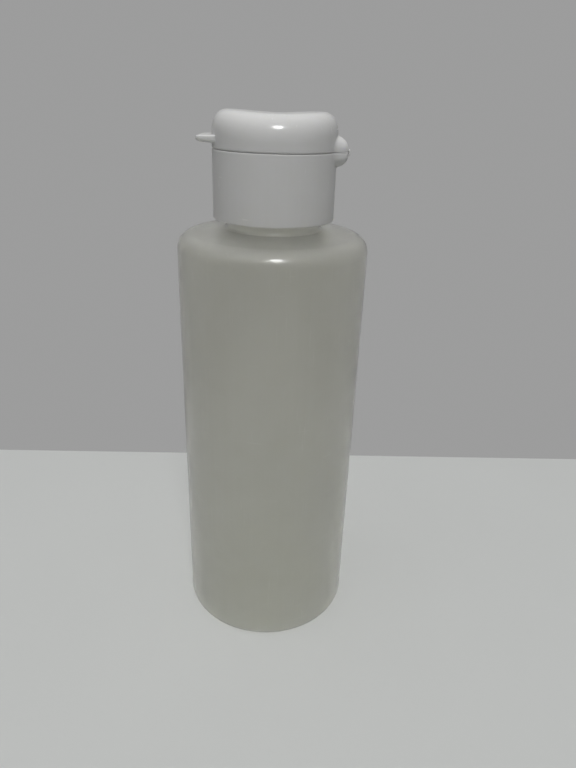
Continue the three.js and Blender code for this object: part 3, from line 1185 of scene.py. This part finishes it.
    def inside(self, skin: Skin) -> None:
        """Adds the rim's inner edge, the inner wall, the ceiling and the sealing pin down to its tip.

        Wall and ceiling meet in a quarter ellipse, and the ceiling follows the saddle.

        Args:
            skin: The skin that gets the rows.
        """
        inner = self.radius - self.wall
        inset, side, top = self.corner(skin.azimuths, self.wall, self.top_wall)
        low = self.bottom + self.rim / 2
        skin.turned(arc((inner + self.rim / 2, low), self.rim / 2, 270, 180, 5))
        heights = low + rows(0, 1, 8) * (side - low)
        skin.band(np.full_like(heights, inner), heights)
        angle = rows(0, math.pi / 2, 16)
        skin.band(inner - inset * (1 - np.cos(angle)), side + (top - side) * np.sin(angle))
        share = rows(1, 0, 12)
        ceiling_radius = self.pin_radius + self.pin_fillet
        middle = self.bottom + self.height - self.top_wall
        reach = ceiling_radius + (inner - inset - ceiling_radius) * share
        skin.band(reach, middle + (top - middle) * eased(share))
        tip = self.nozzle_top - self.pin_depth
        tip_round = self.pin_radius * self.tip_share
        skin.turned(
            arc((ceiling_radius, middle - self.pin_fillet), self.pin_fillet, 90, 180, 6),
            line((self.pin_radius, middle - self.pin_start), (self.pin_radius, tip + tip_round), 12),
            arc((self.pin_radius - tip_round, tip + tip_round), tip_round, 0, -90, 7),
            line((self.pin_radius - tip_round, tip), (0, tip), 3),
        )

    def azimuths(self) -> Array:
        """The azimuths, crowded at the hinge lobes and at the tab's sides.

        Returns:
            Azimuths in radians.
        """
        tab_edges = [math.asin(self.tab_width / 2 / (self.radius + offset)) for offset in self.tab_crowd]
        turned = [wrapped(math.pi + sign * edge) for sign in (-1, 1) for edge in tab_edges]
        crowd = self.hinge.edges(self.radius) + turned
        return crowded(-math.pi, math.pi, self.columns + 1, crowd, width=0.035, pull=7)[:-1]

    parts = (top, side, inside)


@dataclass(frozen=True)
class HingeFilm(SubAssembly):
    """A thin living-hinge film between the cap's and the lid's lobe, thinner where it would fold."""

    hinge: HingeSizes
    parting: float
    lid_bottom: float
    side: int
    label: Label
    roundness: float = 0.25
    fold_width: float = 0.16
    end_power: int = 16
    bend_share: float = 0.7

    def build(self) -> Piece:
        """Builds the film as a flat tube whose inner face is drawn in at the fold.

        A row is a rounded rectangle: centre + half size * sign and power of (cos, sin); the thickness
        shrinks to fold_share of its full value at mid height.

        Returns:
            The new object.
        """
        hinge = self.hinge
        low, high = self.parting - hinge.tip, self.lid_bottom + hinge.tip
        half_width = (hinge.tip_span - hinge.window) / 4 - hinge.film_inset
        middle = self.side * (hinge.tip_span + hinge.window) / 4
        share = rows(0, 1, 41)
        around = np.linspace(0, 2 * math.pi, 56, endpoint=False)[None, :]
        across, along = (
            np.sign(wave) * np.abs(wave) ** self.roundness for wave in (np.cos(around), np.sin(around))
        )
        thickness = hinge.film * (1 - (1 - hinge.fold_share) * bell((share - 0.5) / self.fold_width))
        end_share = np.sqrt(np.clip(1 - np.abs(2 * share - 1) ** self.end_power, 0, 1))
        x = hinge.line - thickness / 2 + across * end_share * thickness / 2
        y = middle + along * end_share * half_width
        z = np.broadcast_to(low + share * (high - low), x.shape)
        return tube(self.label.name, np.stack([x, y, z], axis=2), Ends.POLES)

    def ride(self, piece: Piece) -> None:
        """Bakes the film's placement into its mesh and leaves it on no body.

        Args:
            piece: The film.
        """
        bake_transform(piece)


@dataclass(frozen=True)
class CapFit:
    """Walls and clearances that place the cap's pieces on the neck."""

    seat_gap: float = 0.1
    seal_clearance: float = 0.3
    skirt_wall: float = 1.25
    skirt_gap: float = 2.25
    deck_wall: float = 1.15
    parting_gap: float = 0.2
    hinge_reach: float = 2.2
    pin_clearance: float = 0.3


# Studio


@dataclass(frozen=True)
class PaleFloor:
    """The floor's finish: faintly clouded and grained, and lit a little from itself."""

    darker: Colour = (0.45, 0.46, 0.45, 1.0)
    lighter: Colour = (0.49, 0.5, 0.49, 1.0)
    tint: Colour = (0.98, 1.0, 0.99, 1.0)
    glow: float = 0.145
    grain_height: float = 0.05

    def material(self) -> Material:
        """Builds the node material.

        Returns:
            The new material.
        """
        nodes = MaterialNodes("pale_floor")
        vector = nodes.add("TexCoord").outputs["Object"]
        cloud = nodes.noise(vector, scale=14.0, detail=3.0)
        grain = nodes.noise(vector, scale=1800.0, detail=2.0)
        relief = {"Height": grain, "Strength": 0.2, "Distance": self.grain_height * MM}
        nodes.feed(nodes.shader, {
            "Base Color": nodes.blend(cloud, self.darker, self.lighter),
            "Emission Color": self.tint,
            "Emission Strength": self.glow,
            "Normal": nodes.add("Bump", relief).outputs["Normal"],
            "Roughness": 0.6,
        })
        return nodes.material


def aimed(turn: float, tilt: float, roll: float = 0.0) -> Matrix:
    """Rolls a camera or lamp about its own axis, tips it down by tilt and turns it about +Z."""
    tipped = Matrix.Rotation(math.pi / 2 - tilt, 4, "X")
    return Matrix.Rotation(turn, 4, "Z") @ tipped @ Matrix.Rotation(roll, 4, "Z")


@dataclass(frozen=True)
class Studio:
    """The plain floor, the soft lights and the camera at the photograph's viewing angle."""

    focal_pixels: float = 600.0
    frame_height_pixels: float = 768.0
    sensor: float = 36.0
    nearest: float = 5.0
    camera_back: float = 127.35
    camera_height: float = 118.43
    pitch: float = math.radians(25.05)
    yaw: float = math.radians(1.89)
    roll: float = math.radians(1.95)
    floor_back: float = 64.0
    floor_front: float = 260.0
    floor_half_width: float = 128.0
    floor_corner: float = 12.0
    floor_thickness: float = 12.0
    floor_gap: float = 0.02
    lamp_distance: float = 900.0
    lamp_elevation: float = math.radians(54)
    lamp_azimuth: float = math.radians(6)
    lamp_size: float = 190.0
    lamp_power: float = 2.9
    aim_height: float = 100.0
    backdrop: float = 0.335
    mirrored_front: float = 0.13
    mirrored_back: float = 0.27
    front_end: float = -0.9
    back_end: float = 0.3
    overhead: float = 0.98
    left_share: float = 1.17
    right_share: float = 0.62
    shown_through: float = 0.15

    def camera(self) -> None:
        """Places the camera: it looks along +Y, turned to the right by yaw, tipped down and rolled."""
        data = bpy.data.cameras.new("camera")
        data.sensor_width = self.sensor
        data.lens = self.sensor * self.focal_pixels / self.frame_height_pixels
        data.clip_start = self.nearest * MM
        data.dof.use_dof = False
        camera = put("camera", data)
        place = Matrix.Translation(Vector((0.0, -self.camera_back, self.camera_height)) * MM)
        camera.matrix_world = place @ aimed(-self.yaw, self.pitch, self.roll)
        bpy.context.scene.camera = camera

    def floor(self) -> None:
        """Adds the pale floor: a slab with rounded corners whose back edge lies behind the bottle."""
        low, high = (-self.floor_half_width, -self.floor_front), (self.floor_half_width, self.floor_back)
        outline = rounded_rectangle(low, high, self.floor_corner, 12)
        count = len(outline)
        depths = (-self.floor_gap, -self.floor_thickness)
        points = np.concatenate([np.column_stack([outline, np.full(count, depth)]) for depth in depths])
        index = np.arange(count)
        following = np.roll(index, -1)
        sides = np.stack([index, following, following + count, index + count], axis=1)
        caps = [index[None, :], (index[::-1] + count)[None, :]]
        floor = put_mesh("floor", points, [sides, *caps])
        floor.data.shade_flat()
        floor.data.materials.append(PaleFloor().material())

    def lamp(self) -> None:
        """Adds the round lamp in front and above, which faces the bottle's cap."""
        data = bpy.data.lights.new("lamp", "AREA")
        data.shape = "DISK"
        data.size = self.lamp_size * MM
        data.energy = self.lamp_power
        aim = Matrix.Translation((0.0, 0.0, self.aim_height * MM))
        away = Matrix.Translation((0.0, 0.0, self.lamp_distance * MM))
        put("lamp", data).matrix_world = aim @ aimed(self.lamp_azimuth, self.lamp_elevation) @ away

    def surround(self) -> None:
        """Adds the world's soft light and a plain backdrop.

        Light from above grows with the height squared and is stronger on the left. What is mirrored is
        dimmer in front than behind, and what shows through the bottle is a little brighter.
        """
        world = bpy.data.worlds.new("surround")
        world.use_nodes = True
        nodes = Nodes(world.node_tree)
        ray = nodes.add("LightPath").outputs
        way = nodes.add("SeparateXYZ", {0: nodes.add("TexCoord").outputs["Generated"]}).outputs
        above = nodes.math("POWER", nodes.math("MAXIMUM", way["Z"], 0.0), 2.0)
        leaning = nodes.ramp(way["X"], -1.0, 1.0, self.left_share, self.right_share)
        overhead = nodes.math("MULTIPLY", above, leaning, self.overhead)
        around = nodes.ramp(way["Y"], self.front_end, self.back_end, self.mirrored_front, self.mirrored_back)
        through = nodes.math("MULTIPLY", ray["Is Transmission Ray"], self.shown_through)
        mirrored = nodes.math("ADD", overhead, around, through)
        level = nodes.choose(ray["Is Diffuse Ray"], mirrored, overhead)
        level = nodes.choose(ray["Is Camera Ray"], level, self.backdrop)
        nodes.feed(nodes.tree.nodes["Background"], {"Color": grey(1.0), "Strength": level})
        bpy.context.scene.world = world

    def build(self) -> None:
        """Sets up camera, floor, lights and plain colours."""
        for part in (self.camera, self.floor, self.lamp, self.surround):
            part()
        bpy.context.scene.view_settings.view_transform = "Standard"


def main() -> None:
    """Builds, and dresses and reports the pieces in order."""
    logging.basicConfig(level=logging.INFO, format="%(name)s: %(message)s")
    Studio().build()
    fit = CapFit()
    thread = ScrewThread()
    bottle = Bottle(thread)
    skirt_inner = bottle.neck_radius + thread.height + thread.clearance
    radius = skirt_inner + fit.skirt_wall
    ring = SealingRing(bottom=bottle.neck_top + fit.seat_gap, outer=skirt_inner - fit.seal_clearance)
    deck_bottom = ring.bottom + ring.thickness + fit.seat_gap
    parting = deck_bottom + fit.deck_wall
    hinge = HingeSizes(line=radius + fit.hinge_reach)
    skirt_bottom = bottle.slope_height(bottle.shoulder_round, radius) + fit.skirt_gap
    cap = CapBase(bottle, thread, hinge, skirt_bottom, parting, deck_bottom, radius, skirt_inner)
    lid = FlipLid(
        hinge=hinge,
        bottom=parting + fit.parting_gap,
        radius=radius,
        nozzle_top=parting + cap.nozzle_height,
        pin_radius=cap.orifice - fit.pin_clearance,
    )
    lid_white = LID_POLYPROPYLENE.material()
    pieces = [
        (bottle, NATURAL_POLYETHYLENE.material()),
        (ring, SEAL_FOAM.material()),
        (cap, WHITE_POLYPROPYLENE.material()),
        (lid, lid_white),
    ]
    for side, name in ((-1, "hinge_film_front"), (1, "hinge_film_rear")):
        label = Label(f"{name}_fine", "white_polypropylene", "cap and lid", name)
        pieces.append((HingeFilm(hinge, parting, lid.bottom, side, label), lid_white))
    for kind, material in pieces:
        piece = kind.build()
        kind.dress(piece, material)
        log.info("%s: %d faces, rides on %s", piece.name, len(piece.data.polygons), kind.label.body)


if __name__ == "__main__":
    main()
